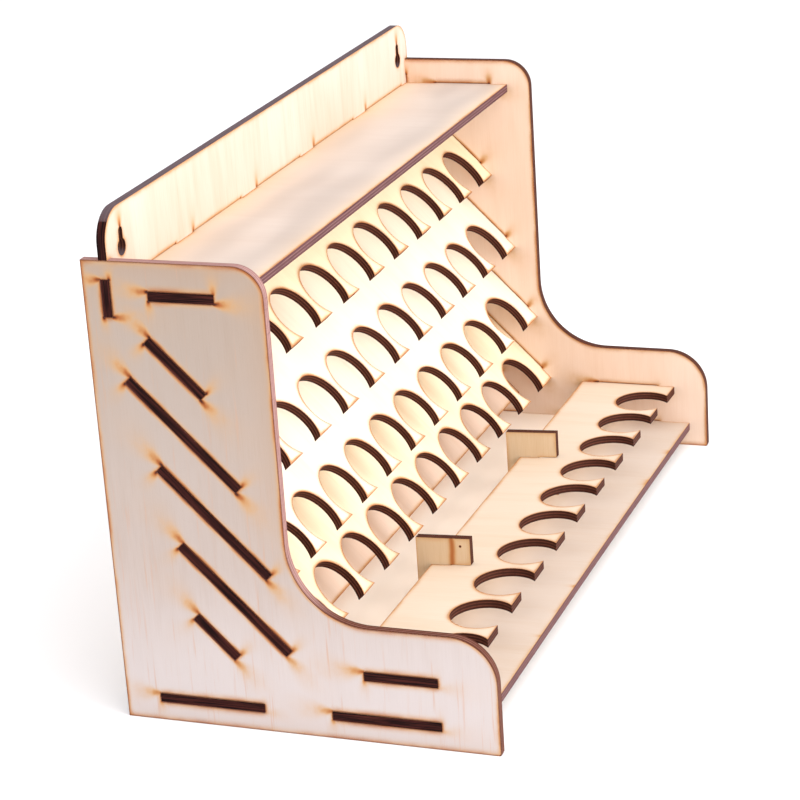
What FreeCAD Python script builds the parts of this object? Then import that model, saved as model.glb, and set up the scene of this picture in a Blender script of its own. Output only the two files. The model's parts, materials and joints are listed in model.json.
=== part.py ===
import FreeCAD, Part
import os
import Sketcher

# Paint rack: a kit of flat pieces cut from one thickness of plywood, joined by tabs
# and slots. Two S-shaped side panels stand upright and carry everything between them.
#
# Frame: +X runs along the rack, -Y is the front, +Z is up. The origin is the centre of
# the footprint, on the surface that the rack stands on.
#
# Every piece between the side panels is described by where its mid-plane and its front
# edge lie in the side view. "Offset" is the distance of the mid-plane from the side
# panel's back bottom corner. "Front" is how far down the plate's own slope its front
# edge lies, counted from the foot of that perpendicular. A level plate has no tilt, so
# its offset is its height and its front is its distance from the back edge.

DIMENSIONS = [
    ("sheet", 3.8, "plywood thickness, shared by every piece"),
    ("slot_play", 0.3, "slot width beyond the sheet"),
    ("tab_play", 0.2, "slot length beyond the tab"),
    ("overall_width", 350, "outer face to outer face of the side panels"),
    ("side_depth", 164, "side panel, back edge to front edge of the arm"),
    ("side_height", 200, "side panel, foot to top edge"),
    ("head_depth", 77.5, "depth of the side panel's upper part"),
    ("head_radius", 13, "rounded front top corner of the side panel"),
    ("sweep_radius", 34, "hollow curve from the upper part into the arm"),
    ("arm_height", 50.5, "top edge of the side panel's arm"),
    ("arm_radius", 19.5, "rounded front corner of the arm"),
    ("toe_radius", 1, "eased front bottom corner"),
    ("bottle_count", 10, "notches in a row"),
    ("bottle_pitch", 32.6, "notch centre to notch centre"),
    ("notch_radius", 13.75, "notch for a 25 mm dropper bottle"),
    ("notch_inset", 9.9, "front edge to notch centre"),
    ("row_tilt", 45, "slope of the tilted plates, degrees"),
    ("row_spacing", 19.2, "mid-plane to mid-plane of the tilted plates"),
    ("row_floor_offset", 59.8, "offset of the lowest tilted plate"),
    ("row_floor_front", 28.9, "front of the lowest tilted plate"),
    ("row_floor_depth", 52.9, "depth of the lowest tilted plate"),
    ("row_floor_tab", 23.5, "its tab"),
    ("row_1_front", -60.2, "front of the top row"),
    ("row_2_front", -25.9, "front of the second row"),
    ("row_3_front", 7.4, "front of the third row"),
    ("row_4_front", 35.2, "front of the bottom tilted row"),
    ("narrow_depth", 48.8, "depth of row 1 and of the front shelf"),
    ("narrow_tab", 31.3, "their tab"),
    ("wide_depth", 76.8, "depth of rows 2 to 4"),
    ("wide_tab", 61.8, "their tab"),
    ("base_offset", 10.2, "height of the base plate's mid-plane"),
    ("base_depth", 155, "depth of the base plate, from the back edge"),
    ("base_tab", 46.8, "each of its two tabs"),
    ("base_margin", 15.7, "front or rear edge to the nearer tab"),
    ("front_shelf_offset", 29.5, "height of the front shelf's mid-plane"),
    ("front_shelf_front", 147.5, "front edge of the front shelf"),
    ("top_shelf_offset", 186, "height of the top shelf's mid-plane"),
    ("top_shelf_front", 65.8, "front edge of the top shelf"),
    ("top_shelf_margin", 9.6, "front edge to tab"),
    ("top_shelf_tab", 28, "its side tab"),
    ("rear_tab_count", 5, "tabs through the back panel"),
    ("rear_tab_pitch", 69, "spacing of those tabs"),
    ("rear_tab", 50.5, "length of each"),
    ("back_offset", 10, "back panel's mid-plane, from the back edge"),
    ("back_bottom", 168, "height of the back panel's lower edge"),
    ("back_top", 219, "height of its upper edge"),
    ("back_tab", 15.3, "its side tab"),
    ("back_margin", 8.6, "lower edge to tab"),
    ("back_radius", 13, "rounded upper corners of the back panel"),
    ("keyhole_inset", 14, "end of the back panel to keyhole centre"),
    ("keyhole_height", 201.5, "centre of the keyhole's round part"),
    ("keyhole_radius", 3.5, "round part, passes a screw head"),
    ("keyhole_rise", 6.6, "round centre to the centre of the slot's end"),
    ("keyhole_slot_radius", 1.7, "half the slot's width, holds a screw shank"),
    ("divider_front", 117, "front edge of the dividers"),
    ("divider_depth", 25, "front to rear of the dividers"),
    ("divider_top", 44, "height of the dividers' upper edge"),
    ("divider_bays", 2, "pitches from the middle of the rack to a divider"),
]

TOUCHING = 1e-6  # two places nearer than this, in millimetres, are one place

document = FreeCAD.newDocument("paint_rack")
sheet = document.addObject("Spreadsheet::Sheet", "Dimensions")
for row, (alias, value, note) in enumerate(DIMENSIONS, start=1):
    sheet.set(f"A{row}", note)
    sheet.set(f"B{row}", str(value))
    sheet.setAlias(f"B{row}", alias)
document.recompute()


def size(alias):
    """The expression that reads one cell."""
    return f"Dimensions.{alias}"


# Sizes that follow from the driving ones.
INNER_WIDTH = f"({size('overall_width')} - 2 * {size('sheet')})"
SLOT_WIDTH = f"({size('sheet')} + {size('slot_play')})"
ROW_RUN = f"(({size('bottle_count')} - 1) * {size('bottle_pitch')})"
FRONT_SHELF_REAR = f"({size('front_shelf_front')} - {size('narrow_depth')})"
# The dividers and the front shelf are halved into each other midway along their overlap.
HALF_LAP = f"(({size('divider_front')} - {FRONT_SHELF_REAR}) / 2 + {size('tab_play')})"


class Plate:
    """A flat piece between the side panels. Sizes are expressions.

    tabs holds (distance from the front edge to the tab, length of the tab).
    """

    def __init__(self, label, tilt, offset, front, depth, tabs):
        self.label = label
        self.tilt = tilt
        self.offset = offset
        self.front = front
        self.depth = depth
        self.tabs = tabs

    def place(self, behind_front):
        """Distance from the rack's back edge, negative towards the front, and height."""
        along = f"({self.front} - ({behind_front}))"
        back = f"-({along} * cos({self.tilt}) + {self.offset} * sin({self.tilt}))"
        height = f"{self.offset} * cos({self.tilt}) - {along} * sin({self.tilt})"
        return back, height


def centred_tab(depth, tab):
    """One tab in the middle of a side edge."""
    return [(f"({size(depth)} - {size(tab)}) / 2", size(tab))]


def row_offset(steps_up):
    """Offset of a tilted plate, counted up from the lowest one."""
    return f"({size('row_floor_offset')} + {steps_up} * {size('row_spacing')})"


LEVEL = "0"
UPRIGHT = "90"
TILTED = size("row_tilt")

row_floor = Plate("row_floor", TILTED, row_offset(0), size("row_floor_front"),
                  size("row_floor_depth"), centred_tab("row_floor_depth", "row_floor_tab"))
rows = [
    Plate("row_plate_1", TILTED, row_offset(4), size("row_1_front"),
          size("narrow_depth"), centred_tab("narrow_depth", "narrow_tab")),
    Plate("row_plate_2", TILTED, row_offset(3), size("row_2_front"),
          size("wide_depth"), centred_tab("wide_depth", "wide_tab")),
    Plate("row_plate_3", TILTED, row_offset(2), size("row_3_front"),
          size("wide_depth"), centred_tab("wide_depth", "wide_tab")),
    Plate("row_plate_4", TILTED, row_offset(1), size("row_4_front"),
          size("wide_depth"), centred_tab("wide_depth", "wide_tab")),
]
base = Plate("base_plate", LEVEL, size("base_offset"), size("base_depth"), size("base_depth"), [
    (size("base_margin"), size("base_tab")),
    (f"{size('base_depth')} - {size('base_margin')} - {size('base_tab')}", size("base_tab")),
])
front_shelf = Plate("front_shelf", LEVEL, size("front_shelf_offset"), size("front_shelf_front"),
                    size("narrow_depth"), centred_tab("narrow_depth", "narrow_tab"))
top_shelf = Plate(
    "top_shelf", LEVEL, size("top_shelf_offset"), size("top_shelf_front"),
    f"({size('top_shelf_front')} - {size('back_offset')} - {size('sheet')} / 2)",
    [(size("top_shelf_margin"), size("top_shelf_tab"))])
# The back panel stands on end, so its lower edge is its front. Only the part below the
# side panels' top edge lies between them.
back = Plate("back_panel", UPRIGHT, size("back_offset"), f"(-{size('back_bottom')})",
             f"({size('side_height')} - {size('back_bottom')})",
             [(size("back_margin"), size("back_tab"))])
plates = [*rows, row_floor, base, front_shelf, top_shelf, back]


def number(expression):
    """The present value of an expression, as a plain number of millimetres or degrees."""
    return float(sheet.evalExpression(expression))


def new_body(label):
    body = document.addObject("PartDesign::Body", label)
    body.Label = label
    return body


def new_sketch(body, name, plane="XY_Plane", across="0", along="0", turn=None):
    """A sketch on one of the body's origin planes, moved and turned within that plane."""
    sketch = body.newObject("Sketcher::SketchObject", name)
    support = next(item for item in body.Origin.OriginFeatures if item.Role == plane)
    sketch.AttachmentSupport = [(support, "")]
    sketch.MapMode = "FlatFace"
    if turn is not None:
        quarter_turn = FreeCAD.Rotation(FreeCAD.Vector(0, 0, 1), 90)
        sketch.AttachmentOffset = FreeCAD.Placement(FreeCAD.Vector(), quarter_turn)
        sketch.setExpression("AttachmentOffset.Rotation.Angle", turn)
    sketch.setExpression("AttachmentOffset.Base.x", across)
    sketch.setExpression("AttachmentOffset.Base.y", along)
    return sketch


def bind(sketch, name, expression, kind, *places):
    """A dimension of the sketch, with its name and the expression that drives it."""
    index = sketch.addConstraint(Sketcher.Constraint(kind, *places, number(expression)))
    sketch.renameConstraint(index, name)
    sketch.setExpression(f"Constraints.{name}", expression)


def rectangle(sketch, width, height):
    """A rectangle centred on the sketch's origin."""
    right = number(width) / 2
    top = number(height) / 2
    corners = [(-right, -top), (right, -top), (right, top), (-right, top)]
    for start, end in zip(corners, corners[1:] + corners[:1]):
        sketch.addGeometry(Part.LineSegment(FreeCAD.Vector(*start), FreeCAD.Vector(*end)))
    for side in range(4):
        sketch.addConstraint(Sketcher.Constraint("Coincident", side, 2, (side + 1) % 4, 1))
        direction = "Vertical" if side % 2 else "Horizontal"
        sketch.addConstraint(Sketcher.Constraint(direction, side))
    sketch.addConstraint(Sketcher.Constraint("Symmetric", 0, 1, 2, 1, -1, 1))
    bind(sketch, "width", width, "DistanceX", 0, 1, 0, 2)
    bind(sketch, "height", height, "DistanceY", 1, 1, 1, 2)


def circle(sketch, radius):
    """A circle centred on the sketch's origin."""
    sketch.addGeometry(Part.Circle(FreeCAD.Vector(), FreeCAD.Vector(0, 0, 1), number(radius)))
    sketch.addConstraint(Sketcher.Constraint("Coincident", 0, 3, -1, 1))
    bind(sketch, "radius", radius, "Radius", 0)


def add_sheet(body, sketch):
    """One sheet thickness of wood, half on each side of the sketch."""
    pad = body.newObject("PartDesign::Pad", f"{sketch.Name}_wood")
    pad.Profile = sketch
    pad.SideType = "Symmetric"
    pad.setExpression("Length", size("sheet"))
    body.Tip = pad
    return pad


def cut_through(body, sketch):
    """The sketch's outline cut through the whole sheet."""
    pocket = body.newObject("PartDesign::Pocket", f"{sketch.Name}_cut")
    pocket.Profile = sketch
    pocket.Type = "ThroughAll"
    pocket.SideType = "Symmetric"
    body.Tip = pocket
    return pocket


def repeat_across(body, features, count, run):
    """The features repeated along the sketch's horizontal axis, over the given run."""
    pattern = body.newObject("PartDesign::LinearPattern", f"{features[-1].Name}_row")
    pattern.Originals = features
    pattern.Direction = (features[0].Profile[0], ["H_Axis"])
    pattern.Mode = "Extent"
    pattern.setExpression("Occurrences", count)
    pattern.setExpression("Length", run)
    body.Tip = pattern
    return pattern


def side_outline(sketch):
    """The side panel's outline with sharp corners, from its back bottom corner."""
    depth = number(size("side_depth"))
    height = number(size("side_height"))
    head = number(size("head_depth"))
    arm = number(size("arm_height"))
    corners = [(0, 0), (0, height), (-head, height), (-head, arm), (-depth, arm), (-depth, 0)]
    for start, end in zip(corners, corners[1:] + corners[:1]):
        sketch.addGeometry(Part.LineSegment(FreeCAD.Vector(*start), FreeCAD.Vector(*end)))
    for side in range(6):
        sketch.addConstraint(Sketcher.Constraint("Coincident", side, 2, (side + 1) % 6, 1))
        direction = "Horizontal" if side % 2 else "Vertical"
        sketch.addConstraint(Sketcher.Constraint(direction, side))
    back_edge, top_edge, head_edge, arm_edge = range(4)
    sketch.addConstraint(Sketcher.Constraint("Coincident", back_edge, 1, -1, 1))
    bind(sketch, "height", size("side_height"), "DistanceY", back_edge, 1, back_edge, 2)
    bind(sketch, "head_depth", size("head_depth"), "DistanceX", top_edge, 2, -1, 1)
    bind(sketch, "arm_height", size("arm_height"), "DistanceY", -1, 1, head_edge, 2)
    bind(sketch, "depth", size("side_depth"), "DistanceX", arm_edge, 2, -1, 1)


def round_corners(body, name, corners, radius):
    """Round the edges that cross the sheet at the given points of its mid-plane."""
    document.recompute()
    base_feature = body.Tip
    edges = [f"Edge{index}" for index, edge in enumerate(base_feature.Shape.Edges, start=1)
             if any(edge.CenterOfMass.distanceToPoint(corner) < TOUCHING for corner in corners)]
    fillet = body.newObject("PartDesign::Fillet", name)
    fillet.Base = (base_feature, edges)
    fillet.setExpression("Radius", radius)
    body.Tip = fillet


def round_side_corners(body):
    """The head, the sweep down to the arm, the arm's end and the toe."""
    depth = number(size("side_depth"))
    head = number(size("head_depth"))
    arm = number(size("arm_height"))
    head_corner = FreeCAD.Vector(0, -head, number(size("side_height")))
    round_corners(body, f"{body.Name}_head", [head_corner], size("head_radius"))
    round_corners(body, f"{body.Name}_sweep", [FreeCAD.Vector(0, -head, arm)], size("sweep_radius"))
    round_corners(body, f"{body.Name}_arm", [FreeCAD.Vector(0, -depth, arm)], size("arm_radius"))
    round_corners(body, f"{body.Name}_toe", [FreeCAD.Vector(0, -depth, 0)], size("toe_radius"))


def build_side_panel(label, hand):
    """One side panel with a slot for every tab; hand is -1 for left and 1 for right."""
    body = new_body(label)
    outline = new_sketch(body, f"{label}_outline", "YZ_Plane")
    side_outline(outline)
    add_sheet(body, outline)
    round_side_corners(body)
    for plate in plates:
        for number_of_tab, (margin, length) in enumerate(plate.tabs, start=1):
            back_distance, height = plate.place(f"{margin} + {length} / 2")
            slot = new_sketch(body, f"{label}_{plate.label}_slot_{number_of_tab}", "YZ_Plane",
                              back_distance, height, plate.tilt)
            rectangle(slot, f"{length} + {size('tab_play')}", SLOT_WIDTH)
            cut_through(body, slot)
    body.setExpression("Placement.Base.x",
                       f"{hand} * ({size('overall_width')} - {size('sheet')}) / 2")
    body.setExpression("Placement.Base.y", f"{size('side_depth')} / 2")
    return body


def build_plate(plate):
    """The plate between the side panels and its side tabs, with its front edge at y = 0."""
    body = new_body(plate.label)
    panel = new_sketch(body, f"{plate.label}_panel", along=f"{plate.depth} / 2")
    rectangle(panel, INNER_WIDTH, plate.depth)
    add_sheet(body, panel)
    for number_of_tab, (margin, length) in enumerate(plate.tabs, start=1):
        tabs = new_sketch(body, f"{plate.label}_tabs_{number_of_tab}",
                          along=f"{margin} + {length} / 2")
        rectangle(tabs, size("overall_width"), length)
        add_sheet(body, tabs)
    back_distance, height = plate.place("0")
    body.Placement = FreeCAD.Placement(FreeCAD.Vector(),
                                       FreeCAD.Rotation(FreeCAD.Vector(1, 0, 0), 90))
    body.setExpression("Placement.Rotation.Angle", plate.tilt)
    body.setExpression("Placement.Base.y", f"{size('side_depth')} / 2 + ({back_distance})")
    body.setExpression("Placement.Base.z", height)
    return body


def cut_bottle_notches(body):
    """The row of round notches that open through the front edge."""
    notch = new_sketch(body, f"{body.Name}_notch", across=f"-{ROW_RUN} / 2",
                       along=size("notch_inset"))
    circle(notch, size("notch_radius"))
    repeat_across(body, [cut_through(body, notch)], size("bottle_count"), ROW_RUN)


def cut_divider_laps(body):
    """The front shelf's two slots, open at its rear edge, that take the dividers."""
    run = f"2 * {size('divider_bays')} * {size('bottle_pitch')}"
    lap = new_sketch(body, f"{body.Name}_lap", across=f"-{run} / 2", along=size("narrow_depth"))
    rectangle(lap, SLOT_WIDTH, f"2 * {HALF_LAP}")
    repeat_across(body, [cut_through(body, lap)], "2", run)


def add_rear_tabs(body):
    """The top shelf's tabs, one sheet long, that go through the back panel."""
    run = f"(({size('rear_tab_count')} - 1) * {size('rear_tab_pitch')})"
    tab = new_sketch(body, f"{body.Name}_rear_tab", across=f"-{run} / 2", along=top_shelf.depth)
    rectangle(tab, size("rear_tab"), f"2 * {size('sheet')}")
    repeat_across(body, [add_sheet(body, tab)], size("rear_tab_count"), run)


def add_back_crown(body):
    """The part of the back panel that rests on the side panels and spans both of them."""
    crown_height = f"({size('back_top')} - {size('side_height')})"
    crown = new_sketch(body, "back_crown", along=f"{back.depth} + {crown_height} / 2")
    rectangle(crown, size("overall_width"), crown_height)
    add_sheet(body, crown)
    top = number(f"{size('back_top')} - {size('back_bottom')}")
    end = number(f"{size('overall_width')} / 2")
    corners = [FreeCAD.Vector(-end, top, 0), FreeCAD.Vector(end, top, 0)]
    round_corners(body, "back_corners", corners, size("back_radius"))


def cut_shelf_slots(body):
    """The back panel's slots for the top shelf's rear tabs."""
    run = f"(({size('rear_tab_count')} - 1) * {size('rear_tab_pitch')})"
    slot = new_sketch(body, "back_shelf_slot", across=f"-{run} / 2",
                      along=f"{size('top_shelf_offset')} - {size('back_bottom')}")
    rectangle(slot, f"{size('rear_tab')} + {size('tab_play')}", SLOT_WIDTH)
    repeat_across(body, [cut_through(body, slot)], size("rear_tab_count"), run)


def cut_keyholes(body):
    """Two keyholes: a round part and a narrow slot that rises from it to a round end."""
    run = f"({size('overall_width')} - 2 * {size('keyhole_inset')})"
    level = f"({size('keyhole_height')} - {size('back_bottom')})"
    round_part = new_sketch(body, "keyhole_round", across=f"-{run} / 2", along=level)
    circle(round_part, size("keyhole_radius"))
    slot = new_sketch(body, "keyhole_slot", across=f"-{run} / 2",
                      along=f"{level} + {size('keyhole_rise')} / 2")
    rectangle(slot, f"2 * {size('keyhole_slot_radius')}", size("keyhole_rise"))
    slot_end = new_sketch(body, "keyhole_slot_end", across=f"-{run} / 2",
                          along=f"{level} + {size('keyhole_rise')}")
    circle(slot_end, size("keyhole_slot_radius"))
    cuts = [cut_through(body, sketch) for sketch in (round_part, slot, slot_end)]
    repeat_across(body, cuts, "2", run)


def build_divider(label, hand):
    """An upright piece that stands on the base plate, halved into the front shelf."""
    floor = f"({size('base_offset')} + {size('sheet')} / 2)"
    body = new_body(label)
    face = new_sketch(body, f"{label}_face", "YZ_Plane")
    rectangle(face, size("divider_depth"), f"{size('divider_top')} - {floor}")
    add_sheet(body, face)
    middle_height = f"(({size('divider_top')} + {floor}) / 2)"
    lap = new_sketch(body, f"{label}_lap", "YZ_Plane", f"-{size('divider_depth')} / 2",
                     f"{size('front_shelf_offset')} - {middle_height}")
    rectangle(lap, f"2 * {HALF_LAP}", SLOT_WIDTH)
    cut_through(body, lap)
    body.setExpression("Placement.Base.x",
                       f"{hand} * {size('divider_bays')} * {size('bottle_pitch')}")
    body.setExpression("Placement.Base.y", f"{size('side_depth')} / 2"
                       f" - {size('divider_front')} + {size('divider_depth')} / 2")
    body.setExpression("Placement.Base.z", middle_height)
    return body


bodies = [build_side_panel("side_panel_left", -1), build_side_panel("side_panel_right", 1)]
for plate in [*rows, row_floor, base, front_shelf, top_shelf, back]:
    body = build_plate(plate)
    if plate in rows or plate is front_shelf:
        cut_bottle_notches(body)
    if plate is front_shelf:
        cut_divider_laps(body)
    if plate is top_shelf:
        add_rear_tabs(body)
    if plate is back:
        add_back_crown(body)
        cut_shelf_slots(body)
        cut_keyholes(body)
    bodies.append(body)
bodies += [build_divider("divider_left", -1), build_divider("divider_right", 1)]

document.recompute()

for item in document.Objects:
    if "Invalid" in item.State or "Error" in item.State:
        raise RuntimeError(f"{item.Name} failed: {item.State}")
for body in bodies:
    if body.Shape.isNull() or not body.Shape.isValid() or len(body.Shape.Solids) != 1:
        raise RuntimeError(f"{body.Label} is not one valid solid")
    for feature in body.Group:
        if feature.TypeId == "PartDesign::Pocket":
            removed = feature.BaseFeature.Shape.Volume - feature.Shape.Volume
            if removed <= 0:
                raise RuntimeError(f"{feature.Name} cuts nothing")

os.makedirs("parts", exist_ok=True)
for body in bodies:
    body.Shape.exportStep(f"parts/{body.Label}.step")
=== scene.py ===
"""The looks of the plywood paint rack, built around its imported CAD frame.

Metres, +X along the rack, -Y to the front, +Z up. Material formulas work in millimetres.
"""

import json
import math

import bmesh
import bpy
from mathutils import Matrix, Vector


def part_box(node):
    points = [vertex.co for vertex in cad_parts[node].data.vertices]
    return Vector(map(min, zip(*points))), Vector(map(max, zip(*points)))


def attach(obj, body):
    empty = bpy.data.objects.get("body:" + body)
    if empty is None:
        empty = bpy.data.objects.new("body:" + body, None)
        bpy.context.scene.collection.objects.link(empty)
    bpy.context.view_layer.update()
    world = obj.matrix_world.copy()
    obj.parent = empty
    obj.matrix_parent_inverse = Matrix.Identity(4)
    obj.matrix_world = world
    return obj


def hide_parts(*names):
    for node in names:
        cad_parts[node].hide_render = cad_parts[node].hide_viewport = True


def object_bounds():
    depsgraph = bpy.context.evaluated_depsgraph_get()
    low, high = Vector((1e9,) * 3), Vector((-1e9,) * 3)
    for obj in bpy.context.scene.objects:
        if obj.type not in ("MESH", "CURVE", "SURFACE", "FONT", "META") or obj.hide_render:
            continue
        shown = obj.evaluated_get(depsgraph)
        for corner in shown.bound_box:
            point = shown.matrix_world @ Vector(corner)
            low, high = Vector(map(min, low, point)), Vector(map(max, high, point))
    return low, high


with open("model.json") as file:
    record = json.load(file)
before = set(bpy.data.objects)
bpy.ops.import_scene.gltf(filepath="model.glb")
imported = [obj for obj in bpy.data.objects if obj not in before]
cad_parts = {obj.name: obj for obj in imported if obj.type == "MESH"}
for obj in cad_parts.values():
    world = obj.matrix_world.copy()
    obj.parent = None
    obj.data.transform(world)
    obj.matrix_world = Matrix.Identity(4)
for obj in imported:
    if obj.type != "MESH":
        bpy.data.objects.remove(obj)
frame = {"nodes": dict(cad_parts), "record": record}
cad_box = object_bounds()

MM = 1000.0
SAME_PLACE = 0.01  # millimetres within which two places count as one
RIGHT = Vector((1, 0, 0))
BACK = Vector((0, 1, 0))
FORWARD = -BACK
UP = Vector((0, 0, 1))
DOWN_SLOPE = Vector((0, -1, -1)).normalized()
OUT_OF_SLOPE = Vector((0, -1, 1)).normalized()

# For each kind of piece: the way its grain runs, the way across the grain, and through its sheet.
LAYOUTS = {
    "side_panel": (UP, BACK, RIGHT),
    "divider": (UP, BACK, RIGHT),
    "back_panel": (UP, RIGHT, BACK),
    "row": (DOWN_SLOPE, RIGHT, OUT_OF_SLOPE),
    "top_shelf": (FORWARD, RIGHT, UP),
    "front_shelf": (FORWARD, RIGHT, UP),
    "base_plate": (FORWARD, RIGHT, UP),
}


def display(red, green, blue):
    """A colour given as it shows on a screen, 0 to 255, as the linear colour that shaders use."""
    return tuple((value / 255) ** 2.2 for value in (red, green, blue)) + (1.0,)


# The colours of burnt wood, from the darkest to the palest, and the two on the ends of tabs, char darkened
# by painted shade.
SOOT = display(38, 20, 17)
CHAR = display(72, 30, 12)
SCORCH = display(164, 90, 42)
SMOKE = display(200, 154, 104)
TAB_CHAR_AND_PAINTED_SHADE = (display(26, 12, 12), display(72, 36, 32))

# The bare veneer of each piece: its main tone, and the tone of the streaks in it. The tones are partly
# the sheets' own and partly painted light and shade, each set to how bright its piece shows under the
# lamps.
GREY_VENEER_WITH_PAINTED_SHADE = (display(205, 195, 194), display(187, 172, 167))
ROSE_VENEER = (display(200, 189, 182), display(182, 165, 156))
PEACH_VENEER = (display(233, 208, 190), display(224, 193, 170))
HONEY_VENEER = (display(222, 205, 187), display(212, 189, 164))
CREAM_VENEER = (display(249, 233, 199), display(239, 215, 177))
APRICOT_VENEER = (display(248, 232, 203), display(239, 213, 177))
PALE_VENEER = (display(243, 233, 216), display(234, 216, 197))
IVORY_VENEER = (display(228, 208, 194), display(209, 182, 159))
BLUSH_VENEER = (display(209, 195, 184), display(200, 180, 162))
TAN_VENEER = (display(218, 195, 164), display(202, 173, 138))
VENEERS_AND_PAINTED_LIGHT = {
    # painted shade: the left panel's outer face is turned away from the lamps
    "side_panel_left": GREY_VENEER_WITH_PAINTED_SHADE,
    # painted light: the right panel's inner face is lit by light bounced off the bright rows
    "side_panel_right": PEACH_VENEER,
    "back_panel": IVORY_VENEER,
    "top_shelf": ROSE_VENEER,
    "row_plate_1": CREAM_VENEER,
    "row_plate_2": PALE_VENEER,
    "row_plate_3": PALE_VENEER,
    "row_plate_4": APRICOT_VENEER,
    "row_floor": PEACH_VENEER,
    "base_plate": BLUSH_VENEER,
    "front_shelf": HONEY_VENEER,
    "divider_left": TAN_VENEER,
    "divider_right": TAN_VENEER,
}

# Single tones that tint one piece's veneer: four for the left panel, the first painted shade up high and
# the second painted cool light from the floor at its foot, two for the top shelf, and the last, painted
# light, for the base plate.
PAINTED_SHADE_UP_HIGH = display(158, 143, 130)
PAINTED_FLOOR_LIGHT_AT_FOOT = display(204, 197, 198)
KHAKI_HAZE = display(172, 130, 92)
RUSTY_FLECKS = display(196, 152, 128)
GREY_BLOTCHES = display(166, 156, 152)
GOLDEN_RIM = display(244, 208, 158)
PAINTED_LIGHT_UNDER_SHELF = display(253, 238, 222)

# The laser-cut walls: (plies, glue lines). The pale and mauve ones are char with painted sheen, as lit
# edges that face the lamps look. The left panel's are pale, but umber along its arm, and painted slate
# sheen from the light above lies on the back panel's where they face up.
DARK_WALL = (display(66, 38, 31), display(112, 68, 54))
MAUVE_WALL_WITH_PAINTED_SHEEN = (display(98, 66, 68), display(142, 108, 106))
PALE_WALL_WITH_PAINTED_SHEEN = (display(150, 112, 108), display(182, 146, 140))
UMBER_WALL = (display(92, 54, 44), display(138, 96, 84))
WALLS = {"side_panel_left": PALE_WALL_WITH_PAINTED_SHEEN, "top_shelf": MAUVE_WALL_WITH_PAINTED_SHEEN, "base_plate": MAUVE_WALL_WITH_PAINTED_SHEEN}
PAINTED_SLATE_SHEEN = display(98, 86, 92)

# Noise patterns: features per millimetre along the grain, across it and through the sheet, then
# how much detail they have and how distorted they are.
PATTERNS = {
    "bands": (0.012, 0.12, 0.2, 3.0, 0.8),
    "fibres": (0.06, 2.4, 0.5, 4.0, 0.0),
    "clouds": (0.012, 0.022, 0.1, 1.0, 0.0),
    "flecks": (0.035, 0.9, 0.2, 3.0, 0.0),
    "blotches": (0.045, 0.012, 0.1, 1.0, 0.0),
    "relief": (0.08, 3.0, 3.0, 4.0, 0.0),
    "smoke_patches": (0.07, 0.07, 0.3, 2.0, 0.0),
    "smoke_shreds": (0.3, 0.3, 0.3, 3.0, 0.0),
    "lead_ins": (0.0, 0.075, 0.0, 2.0, 0.0),
    "wander": (0.1, 0.0, 0.0, 1.0, 0.0),
    "laminations": (0.05, 0.05, 2.4, 3.0, 0.0),
    "striations": (1.2, 1.2, 0.15, 3.0, 0.0),
}
SEED_STEP = 7.3  # sets each piece's noise apart from the next piece's

# How dark the laser burnt the faces along its cuts, from 0 to 1: usually, and on single pieces.
USUAL_BURN = 0.65
BURNS = {
    "side_panel_left": 0.9,
    "side_panel_right": 0.8,
    "back_panel": 0.5,
    "base_plate": 0.4,
    "front_shelf": 0.6,
    "divider_left": 0.35,
    "divider_right": 0.35,
}

# How wide the dark line and the smoky glow along every cut are, in millimetres.
LINE_WIDTH = 1.8
GLOW_WIDTH = 5.5

# The scorches by a slot: how many millimetres they run on along it, how many they reach across
# it, and how strong they are at its far end. By plate for the slots in the side panels, and for
# the top shelf's slots in the back panel.
USUAL_SCORCHES = (4.8, 2.4, 1.0)
SIDE_SCORCHES = {
    "back_panel": (1.8, 4.4, 1.0),
    "front_shelf": (6.0, 1.6, 0.3),
    "base_plate": (5.0, 1.8, 0.4),
}
SHELF_SCORCHES = (0.9, 2.2, 1.0)

# Thin plywood warps: the middle of a plate stands out of its plane, by the first number of
# millimetres along its upper or rear edge and by the second along its lower or front edge.
WARPS = {
    "row_plate_1": (3.4, 3.4),
    "row_plate_2": (1.6, 1.6),
    "row_plate_3": (-5.5, -5.5),
    "row_plate_4": (-2.0, -2.0),
    "front_shelf": (-0.2, 2.3),
    "base_plate": (0.0, 1.0),
}
CARRIED = {"divider_left": "front_shelf", "divider_right": "front_shelf"}
WARP_STRIPS = 48
HALF_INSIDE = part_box("side_panel_right")[0].x * MM  # from mid-length to a side panel's inner face

# The soft boxes of the studio: where each one hangs, its width, and its power in watts.
SOFTBOXES = {
    "front_softbox": ((-0.7, -1.2, 0.9), 1.8, 14.0),
    "low_softbox": ((-0.25, -1.3, 0.3), 1.0, 9.0),
    "top_softbox": ((0.0, -0.4, 1.5), 1.6, 11.0),
}
MIDDLE_OF_RACK = Vector((0, 0, 0.1))
FLOOR_SIZE = 12.0
CAMERA_PLACE = (-1.0587, -0.3911, 0.4935)
CAMERA_ANGLES = (70.0, 3.65, -70.16)  # degrees
FOCAL_LENGTH = 118.4
SENSOR_WIDTH = 36.0


def layout_of(node):
    """(along the grain, across it, through the sheet) for a node, by the start of its name."""
    return next(axes for kind, axes in LAYOUTS.items() if node.startswith(kind))


def extent(points, axis):
    """Lowest and highest place of some points along a direction, in millimetres."""
    places = [point.dot(axis) * MM for point in points]
    return min(places), max(places)


class Warp:
    """How a plate stands out of its plane: most along the middle of its length, and not at its ends."""

    def __init__(self, plate):
        self.forward, _, self.outward = layout_of(plate)
        self.rear_height, self.front_height = WARPS[plate]
        points = [vertex.co for vertex in frame["nodes"][plate].data.vertices]
        self.rear, self.front = extent(points, self.forward)

    def height(self, across, along):
        """The height at a place, both in millimetres; plain numbers and formulas work alike."""
        span = across * (1 / HALF_INSIDE)
        share = (along - self.rear) * (1 / (self.front - self.rear))
        middle = share * (self.front_height - self.rear_height) + self.rear_height
        return middle * (span * span * -1.0 + 1.0)


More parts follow.
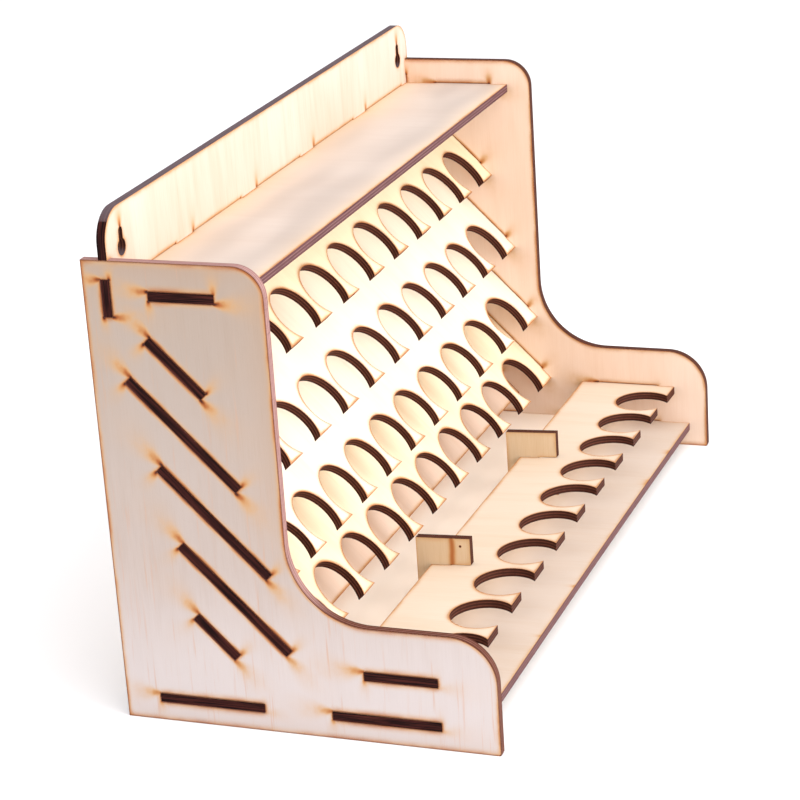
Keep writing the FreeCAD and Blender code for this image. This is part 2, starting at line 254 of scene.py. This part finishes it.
class Slot:
    """A slot in a panel that another plate's tab fills, and the scorches by it, in millimetres."""

    def __init__(self, long_axis, short_axis, cut_from, long_range, short_range, scorches):
        self.run_on_length, self.side_length, self.far_end_strength = scorches
        self.long_axis = long_axis
        self.short_axis = short_axis
        self.turn = long_axis.cross(short_axis).dot(cut_from)
        self.long_centre = sum(long_range) / 2
        self.short_centre = sum(short_range) / 2
        self.half_length = (long_range[1] - long_range[0]) / 2
        self.half_width = (short_range[1] - short_range[0]) / 2


def tab_slots(node, outward, long_axis, cut_from, scorches):
    """The slots that a plate's tabs fill on its outward side; cut_from is the side the laser was on."""
    panel_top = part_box("side_panel_left")[1].z
    vertices = frame["nodes"][node].data.vertices
    points = [vertex.co for vertex in vertices if vertex.co.z < panel_top - SAME_PLACE / MM]
    reach = extent(points, outward)[1]
    tips = [point for point in points if reach - point.dot(outward) * MM < SAME_PLACE]
    through = layout_of(node)[2]
    ends = sorted({round(point.dot(long_axis) * MM, 2) for point in tips})
    return [
        Slot(long_axis, through, cut_from, (start, end), extent(tips, through), scorches)
        for start, end in zip(ends[0::2], ends[1::2])
    ]


def slots_of(node):
    """Every slot that is cut through a panel."""
    if node == "back_panel":
        return tab_slots("top_shelf", BACK, RIGHT, BACK, SHELF_SCORCHES)
    slots = []
    if node.startswith("side_panel"):
        for name in sorted(frame["nodes"]):
            if not name.startswith(("side", "divider")):
                scorches = SIDE_SCORCHES.get(name, USUAL_SCORCHES)
                slots += tab_slots(name, RIGHT, layout_of(name)[0], -RIGHT, scorches)
    return slots


class Formula:
    """A number inside a material, so that its nodes are written as ordinary arithmetic."""

    def __init__(self, tree, socket):
        self.tree = tree
        self.socket = socket

    def math(self, operation, *others):
        """This number and any others put through one maths operation."""
        node = self.tree.nodes.new("ShaderNodeMath")
        node.operation = operation
        for place, value in enumerate((self, *others)):
            connect(self.tree, node.inputs[place], value)
        return Formula(self.tree, node.outputs[0])

    def __add__(self, other):
        return self.math("ADD", other)

    def __sub__(self, other):
        return self.math("SUBTRACT", other)

    def __mul__(self, other):
        return self.math("MULTIPLY", other)

    def __truediv__(self, other):
        return self.math("DIVIDE", other)

    def step(self, start, end):
        """0 before start and 1 after end, with a smooth rise between; falls if end is below start."""
        node = self.tree.nodes.new("ShaderNodeMapRange")
        node.interpolation_type = "SMOOTHSTEP"
        connect(self.tree, node.inputs["Value"], self)
        flipped = end < start
        node.inputs["From Min"].default_value = min(start, end)
        node.inputs["From Max"].default_value = max(start, end)
        node.inputs["To Min"].default_value = 1.0 if flipped else 0.0
        node.inputs["To Max"].default_value = 0.0 if flipped else 1.0
        return Formula(self.tree, node.outputs["Result"])

    def fade(self, length):
        """Falls from 1 at zero towards 0 over a few lengths."""
        return (self * (-1 / length)).math("EXPONENT")


def connect(tree, target, value):
    """Feeds a socket with a formula, another socket, or a plain value."""
    if isinstance(value, Formula):
        tree.links.new(value.socket, target)
    elif isinstance(value, bpy.types.NodeSocket):
        tree.links.new(value, target)
    else:
        target.default_value = value


class Sheet:
    """The material of one plywood piece, with the coordinates and masks that its parts share."""

    def __init__(self, node):
        self.node = node
        self.material = bpy.data.materials.new(f"plywood_{node}")
        self.material.use_nodes = True
        self.tree = self.material.node_tree
        self.tree.nodes.clear()
        points = [vertex.co for vertex in frame["nodes"][node].data.vertices]
        grain, cross, through = layout_of(node)
        low, high = extent(points, through)
        self.half_thickness = (high - low) / 2
        self.position = self.tree.nodes.new("ShaderNodeTexCoord").outputs["Object"]
        self.normal = self.tree.nodes.new("ShaderNodeNewGeometry").outputs["True Normal"]
        self.along = self.place(grain)
        self.across = self.place(cross)
        self.depth = self.place(through) - (low + high) / 2
        if node in WARPS:
            self.depth = self.depth - Warp(node).height(self.across, self.along)
        self.facing = self.dot(self.normal, through).math("ABSOLUTE").step(0.6, 0.8)

    def dot(self, vector, other):
        """The dot product of a vector in the material with another one, or with a fixed direction."""
        node = self.tree.nodes.new("ShaderNodeVectorMath")
        node.operation = "DOT_PRODUCT"
        connect(self.tree, node.inputs[0], vector)
        connect(self.tree, node.inputs[1], other)
        return Formula(self.tree, node.outputs["Value"])

    def place(self, axis):
        """The place of the shaded point along a direction, in millimetres."""
        return self.dot(self.position, axis) * MM

    def noise(self, pattern):
        """Noise from 0 to 1 in one of the patterns."""
        along, across, depth, detail, distortion = PATTERNS[pattern]
        mixed = self.tree.nodes.new("ShaderNodeCombineXYZ")
        seed = SEED_STEP * sorted(frame["nodes"]).index(self.node)
        connect(self.tree, mixed.inputs[0], self.along * along + seed)
        connect(self.tree, mixed.inputs[1], self.across * across)
        connect(self.tree, mixed.inputs[2], self.depth * depth)
        node = self.tree.nodes.new("ShaderNodeTexNoise")
        connect(self.tree, node.inputs["Vector"], mixed.outputs[0])
        node.inputs["Scale"].default_value = 1.0
        node.inputs["Detail"].default_value = detail
        node.inputs["Distortion"].default_value = distortion
        return Formula(self.tree, node.outputs["Fac"])

    def mix(self, below, above, amount):
        """A colour between two others; amount 0 shows the one below and 1 the one above."""
        node = self.tree.nodes.new("ShaderNodeMix")
        node.data_type = "RGBA"
        factor, first, second = node.inputs[0], node.inputs[6], node.inputs[7]
        connect(self.tree, factor, amount)
        connect(self.tree, first, below)
        connect(self.tree, second, above)
        return node.outputs[2]

    def rim(self, radius, full=0.85):
        """1 on a sharp edge, falling to 0 at a distance from it.

        The bevelled normal turns away from the true one near an edge; full is the cosine between
        them at which the rim reaches 1.
        """
        node = self.tree.nodes.new("ShaderNodeBevel")
        node.samples = 8
        node.inputs["Radius"].default_value = radius / MM
        return self.dot(node.outputs["Normal"], self.normal).step(0.999, full)


def behind_upper_front(sheet):
    """How far the shaded point lies behind the front edge of a side panel's upper part."""
    points = [vertex.co * MM for vertex in frame["nodes"][sheet.node].data.vertices]
    upper_part = 0.7 * max(point.z for point in points)
    return sheet.place(BACK) - min(point.y for point in points if point.z > upper_part)


def left_panel_tint(sheet, bare, bands):
    """The left panel's face: painted shade up high, painted cool light from the floor at its foot, hazed
    by its edges, and flecked.
    """
    low, high = (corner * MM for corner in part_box(sheet.node))
    height = sheet.place(UP)
    # painted shade darkens the panel up high, and painted light from the floor pales and cools its foot
    shade_up_high = height.step(low.z - 40.0, high.z) * 0.75
    floor_light_share = height.step(75.0, 5.0) * 0.85
    above_arm = height.step(60.0, 110.0)
    front_haze = behind_upper_front(sheet).math("MAXIMUM", 0.0).fade(10.0) * above_arm
    top_haze = (height * -1.0 + high.z).fade(8.0)
    foot_haze = height.fade(6.0) * 0.6
    haze = front_haze.math("MAXIMUM", top_haze).math("MAXIMUM", foot_haze) * 0.36
    flecks = sheet.noise("flecks").step(0.56, 0.72) * bands.step(0.4, 0.6) * 0.5
    with_shade_up_high = sheet.mix(bare, PAINTED_SHADE_UP_HIGH, shade_up_high)
    with_floor_light = sheet.mix(with_shade_up_high, PAINTED_FLOOR_LIGHT_AT_FOOT, floor_light_share)
    hazed = sheet.mix(with_floor_light, KHAKI_HAZE, haze)
    return sheet.mix(hazed, RUSTY_FLECKS, flecks)


def top_shelf_tint(sheet, bare, clouds):
    """The top shelf's face: grey blotches, and a golden glow at its rear and front edges."""
    front, rear = (corner.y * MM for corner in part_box(sheet.node))
    place = sheet.place(BACK)
    blotches = sheet.noise("blotches").step(0.35, 0.7) * 0.55
    rear_glow = (place * -1.0 + rear).math("MAXIMUM", 0.0).fade(10.0)
    front_glow = (place - front).fade(4.0) * 0.7
    glow = (rear_glow + front_glow) * (clouds * 0.8 + 0.3)
    return sheet.mix(sheet.mix(bare, GREY_BLOTCHES, blotches), GOLDEN_RIM, glow)


def base_plate_painted_light(sheet, bare):
    """The base plate's face: painted light under the front shelf and behind it, where the shelf shades it.
    """
    under_shelf = sheet.place(BACK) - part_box("front_shelf")[0].y * MM
    # painted light: paler where the front shelf casts its shade
    return sheet.mix(bare, PAINTED_LIGHT_UNDER_SHELF, under_shelf.step(14.0, 34.0))


def veneer(sheet):
    """The face: soft bands, clouds and fine fibres along the grain, in tones that hold painted light and
    shade, with more painted shade and light on the left panel and the base plate.
    """
    light, dark = VENEERS_AND_PAINTED_LIGHT[sheet.node]
    bands = sheet.noise("bands")
    fibres = sheet.noise("fibres")
    clouds = sheet.noise("clouds")
    streaks = bands.step(0.4, 0.75) * 0.35 + fibres.step(0.4, 0.8) * 0.4 + clouds.step(0.35, 0.65) * 0.3
    if sheet.node == "top_shelf":
        return top_shelf_tint(sheet, sheet.mix(light, dark, streaks * 0.5), clouds)
    bare = sheet.mix(light, dark, streaks)
    if sheet.node == "side_panel_left":
        return left_panel_tint(sheet, bare, bands)
    if sheet.node == "base_plate":
        return base_plate_painted_light(sheet, bare)
    return bare


def flame(run, drift, length):
    """A scorch that starts at run 0 and fades over a length, widening as it goes; drift is sideways."""
    reach = run.math("MAXIMUM", 0.0)
    spread = reach * 0.35 + 0.9
    fading = reach.fade(length) * 0.8 + reach.fade(length * 2.5) * 0.2
    return (drift / spread).math("POWER", 2.0).fade(1.0) * fading * run.step(-0.8, 0.1)


def flares(sheet, slot):
    """Scorch round a slot, and past its corners, where the laser ran on along it and across it."""
    long_place = sheet.place(slot.long_axis) - slot.long_centre
    short_place = sheet.place(slot.short_axis) - slot.short_centre
    beyond = long_place.math("ABSOLUTE") - slot.half_length
    lateral = short_place * long_place.math("SIGN") * slot.turn
    run_on = flame(beyond, lateral + slot.half_width, slot.run_on_length)
    side = flame(lateral - slot.half_width, beyond.math("ABSOLUTE"), slot.side_length)
    gap = beyond.math("MAXIMUM", short_place.math("ABSOLUTE") - slot.half_width)
    halo = gap.math("MAXIMUM", 0.0).fade(0.7) * 0.65
    strength = long_place.step(-1.0, 1.0) * (slot.far_end_strength - 1.0) + 1.0
    return (run_on.math("MAXIMUM", side) * strength).math("MAXIMUM", halo)


def keyhole_flames(sheet):
    """A thin scorch that rises from the top of each keyhole."""
    mounts = {mount["name"]: mount for mount in frame["record"]["mounts"]}
    keyhole = mounts["keyhole_right"]
    centre, radius = Vector(keyhole["pos_m"]) * MM, keyhole["dims"]["r_mm"]
    highest = centre.z + 4 * radius
    points = [vertex.co * MM for vertex in frame["nodes"][sheet.node].data.vertices]
    top = max(point.z for point in points if abs(point.x - centre.x) < radius and point.z < highest)
    drift = sheet.place(RIGHT).math("ABSOLUTE") - centre.x
    return flame(sheet.place(UP) - top, drift, length=3.0)


def lead_ins(sheet):
    """Short scorches on a plate's front edge, where the laser came in from the waste wood."""
    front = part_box(sheet.node)[0].y * MM
    starts = sheet.noise("lead_ins").step(0.58, 0.68)
    return starts * (sheet.place(BACK) - front).fade(1.6) * 0.6


def divider_marks(sheet):
    """A brown streak up the left divider, and the dark dot of a laser start beside it."""
    low, high = (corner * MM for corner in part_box(sheet.node))
    wander = sheet.noise("wander") * 1.6 - 0.8
    streak_place = low.y + 0.34 * (high.y - low.y)
    streak_width = 1.6
    from_streak = (sheet.across - streak_place + wander) / streak_width
    streak = from_streak.math("POWER", 2.0).fade(1.0) * 0.62
    dot_across = (sheet.across - low.y - 4.5).math("POWER", 2.0)
    dot_along = (sheet.along - high.z + 3.2).math("POWER", 2.0)
    dot = (dot_across + dot_along).step(0.6, 0.15)
    return streak.math("MAXIMUM", dot)


# Burn marks that only one piece has.
OWN_MARKS = {
    "back_panel": keyhole_flames,
    "base_plate": lead_ins,
    "divider_left": divider_marks,
}


def scorch(sheet):
    """How burnt the face is: 0 for bare veneer, about 0.5 for smoke, and 1 for char."""
    patches = sheet.noise("smoke_patches")
    strength = BURNS.get(sheet.node, USUAL_BURN)
    line = sheet.rim(LINE_WIDTH) * strength
    glow = sheet.rim(GLOW_WIDTH, 0.8) * (patches.step(0.3, 0.7) * 0.5 + 0.3) * strength
    burnt = glow.math("MAXIMUM", line)
    ragged = sheet.noise("smoke_shreds") * 1.2 + patches * 0.6 + 0.2
    if sheet.node == "side_panel_left":
        fainter_below = sheet.place(UP).step(0.0, 140.0) * 0.35 + 0.65
        ragged = ragged * fainter_below
    for slot in slots_of(sheet.node):
        burnt = burnt.math("MAXIMUM", flares(sheet, slot) * ragged)
    if sheet.node in OWN_MARKS:
        burnt = burnt.math("MAXIMUM", OWN_MARKS[sheet.node](sheet))
    return burnt.math("MINIMUM", 1.0)


def face(sheet):
    """The face's colour, from bare veneer with its painted light and shade through smoke to char."""
    burnt = scorch(sheet)
    smoked = sheet.mix(veneer(sheet), SMOKE, burnt.step(-0.1, 0.45))
    scorched = sheet.mix(smoked, SCORCH, burnt.step(0.2, 0.75))
    return sheet.mix(scorched, CHAR, burnt.step(0.6, 1.0))


def cut_wall(sheet):
    """The laser-cut wall: three charred plies, the paler glue lines between them, soot, painted sheen on
    some pieces, and painted shade on the tab ends.
    """
    share = sheet.depth.math("ABSOLUTE") / sheet.half_thickness
    laminations = sheet.noise("laminations")
    striations = sheet.noise("striations")
    glue = (share - 0.36).math("ABSOLUTE").step(0.16, 0.06) * (striations.step(0.3, 0.6) * 0.5 + 0.5)
    layered = sheet.mix(*WALLS.get(sheet.node, DARK_WALL), glue)
    if sheet.node == "side_panel_left":
        on_arm = behind_upper_front(sheet).step(-2.0, -22.0)
        layered = sheet.mix(layered, sheet.mix(*UMBER_WALL, glue), on_arm)
    if sheet.node == "back_panel":
        # painted sheen: the light from above on the back panel's walls that face up
        painted_sheen = sheet.dot(sheet.normal, UP).step(0.2, 1.0) * 0.8
        layered = sheet.mix(layered, PAINTED_SLATE_SHEEN, painted_sheen)
    soot = laminations.step(0.45, 0.7) * 0.35 + striations.step(0.55, 0.8) * 0.3
    sooty = sheet.mix(layered, SOOT, soot)
    # painted shade: the tab ends lie deep in their slots, and their char is darkened as if shaded
    return sheet.mix(sooty, sheet.mix(*TAB_CHAR_AND_PAINTED_SHADE, laminations.step(0.4, 0.65)), tab_ends(sheet))


def tab_ends(sheet):
    """1 on the ends of a plate's tabs, which sit charred in their slots, with painted shade from the
    recess.
    """
    if sheet.node.startswith(("side_panel", "divider")):
        return 0.0
    in_side = sheet.place(RIGHT).math("ABSOLUTE").step(HALF_INSIDE, HALF_INSIDE + 0.5)
    if sheet.node != "top_shelf":
        return in_side
    back_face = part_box("back_panel")[0].y * MM
    return in_side.math("MAXIMUM", sheet.place(BACK).step(back_face, back_face + 0.5))


def finish_plywood(node):
    """Gives one CAD node its plywood material."""
    sheet = Sheet(node)
    shader = sheet.tree.nodes.new("ShaderNodeBsdfPrincipled")
    output = sheet.tree.nodes.new("ShaderNodeOutputMaterial")
    sheet.tree.links.new(shader.outputs["BSDF"], output.inputs["Surface"])
    connect(sheet.tree, shader.inputs["Base Color"], sheet.mix(cut_wall(sheet), face(sheet), sheet.facing))
    relief = sheet.noise("relief")
    connect(sheet.tree, shader.inputs["Roughness"], relief * 0.2 + 0.6)
    connect(sheet.tree, shader.inputs["Specular IOR Level"], sheet.facing * 0.25 + 0.08)
    bump = sheet.tree.nodes.new("ShaderNodeBump")
    bump.inputs["Strength"].default_value = 0.25
    bump.inputs["Distance"].default_value = 0.2 / MM
    connect(sheet.tree, bump.inputs["Height"], relief)
    sheet.tree.links.new(bump.outputs["Normal"], shader.inputs["Normal"])
    mesh = frame["nodes"][node].data
    mesh.materials.clear()
    mesh.materials.append(sheet.material)


def warped_shape(node, warp):
    """The shape of a flat node, cut into strips across its length and bent to a warp."""
    shape = bmesh.new()
    shape.from_mesh(frame["nodes"][node].data)
    bmesh.ops.remove_doubles(shape, verts=shape.verts, dist=1e-6)
    bmesh.ops.dissolve_limit(shape, angle_limit=math.radians(1), verts=shape.verts, edges=shape.edges)
    for strip in range(1, WARP_STRIPS):
        cut = Vector(((strip / WARP_STRIPS * 2 - 1) * HALF_INSIDE / MM, 0, 0))
        everything = [*shape.verts, *shape.edges, *shape.faces]
        bmesh.ops.bisect_plane(shape, geom=everything, plane_co=cut, plane_no=RIGHT, dist=1e-7)
    for vertex in shape.verts:
        across = min(abs(vertex.co.x * MM), HALF_INSIDE)
        vertex.co += warp.outward * warp.height(across, vertex.co.dot(warp.forward) * MM) / MM
    return shape


def warp_piece(node, plate):
    """Stands a warped copy in for a flat node: a plate, or a divider that stands on a plate."""
    shape = warped_shape(node, Warp(plate))
    mesh = bpy.data.meshes.new(f"warped_{node}")
    shape.to_mesh(mesh)
    shape.free()
    mesh.materials.append(frame["nodes"][node].data.materials[0])
    piece = bpy.data.objects.new(f"warped_{node}", mesh)
    bpy.context.scene.collection.objects.link(piece)
    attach(piece, "root")
    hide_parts(node)


def lay_floor():
    """A plain pale floor under the rack."""
    bpy.ops.mesh.primitive_plane_add(size=FLOOR_SIZE, location=(0, 0, cad_box[0].z))
    floor = bpy.context.object
    floor.name = "floor"
    material = bpy.data.materials.new("white_floor")
    material.use_nodes = True
    shader = material.node_tree.nodes["Principled BSDF"]
    shader.inputs["Base Color"].default_value = (0.92, 0.92, 0.93, 1)
    shader.inputs["Roughness"].default_value = 0.9
    floor.data.materials.append(material)


def hang_softbox(name, place, size, power):
    """A large square lamp that faces the rack."""
    lamp = bpy.data.lights.new(name, "AREA")
    lamp.shape = "SQUARE"
    lamp.size = size
    lamp.energy = power
    lamp.color = (1.0, 0.985, 0.97)
    softbox = bpy.data.objects.new(name, lamp)
    bpy.context.scene.collection.objects.link(softbox)
    softbox.location = place
    aim = MIDDLE_OF_RACK - softbox.location
    softbox.rotation_euler = aim.to_track_quat("-Z", "Y").to_euler()


def light_studio():
    """White surroundings, and large soft boxes in front of the rack, low before it and over it."""
    world = bpy.data.worlds.new("studio")
    world.use_nodes = True
    background = world.node_tree.nodes["Background"]
    background.inputs["Color"].default_value = (0.98, 0.98, 1.0, 1)
    background.inputs["Strength"].default_value = 1.0
    bpy.context.scene.world = world
    for name, (place, size, power) in SOFTBOXES.items():
        hang_softbox(name, place, size, power)


def place_camera():
    """A long lens from the front left and above, with the slight roll of a hand-held picture."""
    data = bpy.data.cameras.new("camera")
    data.sensor_width = SENSOR_WIDTH
    data.lens = FOCAL_LENGTH
    camera = bpy.data.objects.new("camera", data)
    bpy.context.scene.collection.objects.link(camera)
    camera.location = CAMERA_PLACE
    camera.rotation_euler = [math.radians(angle) for angle in CAMERA_ANGLES]
    bpy.context.scene.camera = camera


for name in sorted(frame["nodes"]):
    finish_plywood(name)
for name in WARPS:
    warp_piece(name, name)
for name, plate in CARRIED.items():
    warp_piece(name, plate)
lay_floor()
light_studio()
place_camera()
bpy.context.scene.view_settings.view_transform = "Standard"
